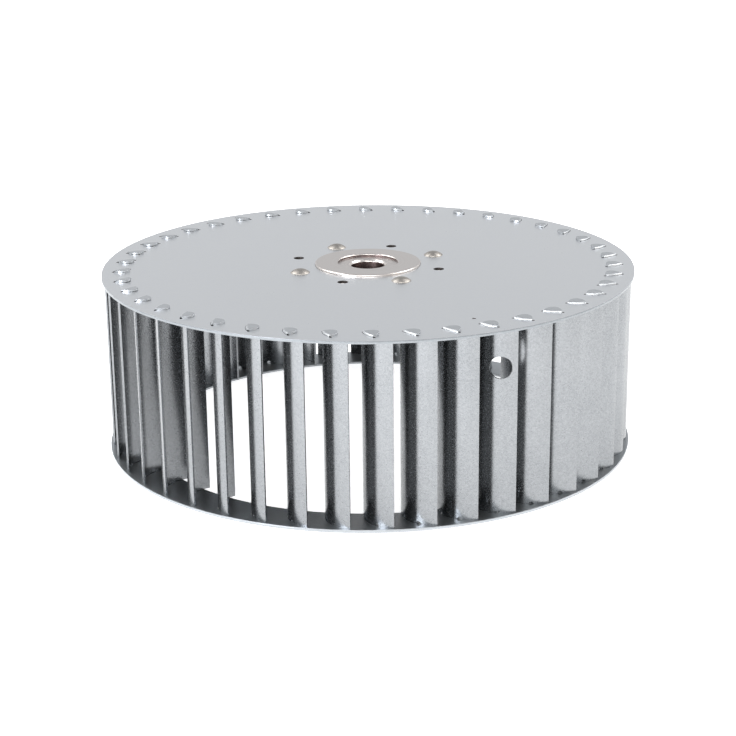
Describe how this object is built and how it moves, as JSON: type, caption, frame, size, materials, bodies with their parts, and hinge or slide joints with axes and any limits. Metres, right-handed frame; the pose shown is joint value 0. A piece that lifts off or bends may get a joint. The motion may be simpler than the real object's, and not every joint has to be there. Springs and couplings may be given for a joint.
{
  "type": "blower motor wheel",
  "caption": "Centrifugal blower wheel with forward-curved sheet blades between a back plate and an inlet ring, and a riveted hub clamped on the motor shaft by a set screw.",
  "frame": {"origin": "centre of the wheel's footprint: on the shaft axis, level with the underside of the tabs folded under the inlet ring", "axes": "+Z along the shaft axis, from the inlet ring to the back plate; +X and +Y in the plane of the ring"},
  "size_m": [0.3, 0.3, 0.1044],
  "materials": {
    "back_plate_sheet": "smooth pale grey zinc-coated sheet",
    "ring_sheet": "zinc-coated sheet",
    "blade_sheet": "galvanised sheet with fine spangle",
    "turned_steel": "turned, fine rings",
    "rivet_steel": "bright pressed heads",
    "screw_steel": "black oxide"
  },
  "bodies": {
    "wheel": {"back_plate": "back_plate_sheet", "inlet_ring": "ring_sheet", "hub": "turned_steel", "hub_rivets": "rivet_steel", "blade_01": "blade_sheet", "blade_02": "blade_sheet", "blade_03": "blade_sheet", "blade_04": "blade_sheet", "blade_05": "blade_sheet", "blade_06": "blade_sheet", "blade_07": "blade_sheet", "blade_08": "blade_sheet", "blade_09": "blade_sheet", "blade_10": "blade_sheet", "blade_11": "blade_sheet", "blade_12": "blade_sheet", "blade_13": "blade_sheet", "blade_14": "blade_sheet", "blade_15": "blade_sheet", "blade_16": "blade_sheet", "blade_17": "blade_sheet", "blade_18": "blade_sheet", "blade_19": "blade_sheet", "blade_20": "blade_sheet", "blade_21": "blade_sheet", "blade_22": "blade_sheet", "blade_23": "blade_sheet", "blade_24": "blade_sheet", "blade_25": "blade_sheet", "blade_26": "blade_sheet", "blade_27": "blade_sheet", "blade_28": "blade_sheet", "blade_29": "blade_sheet", "blade_30": "blade_sheet", "blade_31": "blade_sheet", "blade_32": "blade_sheet", "blade_33": "blade_sheet", "blade_34": "blade_sheet", "blade_35": "blade_sheet", "blade_36": "blade_sheet", "blade_37": "blade_sheet", "blade_38": "blade_sheet", "blade_39": "blade_sheet", "blade_40": "blade_sheet", "blade_41": "blade_sheet", "blade_42": "blade_sheet"},
    "set_screw": {"set_screw": "screw_steel"}
  },
  "joints": [
    {"name": "set_screw_travel", "type": "slide", "parent": "wheel", "child": "set_screw", "axis": [0.4582, -0.8888, 0], "range_m": [-0.0003, 0.012]}
  ]
}
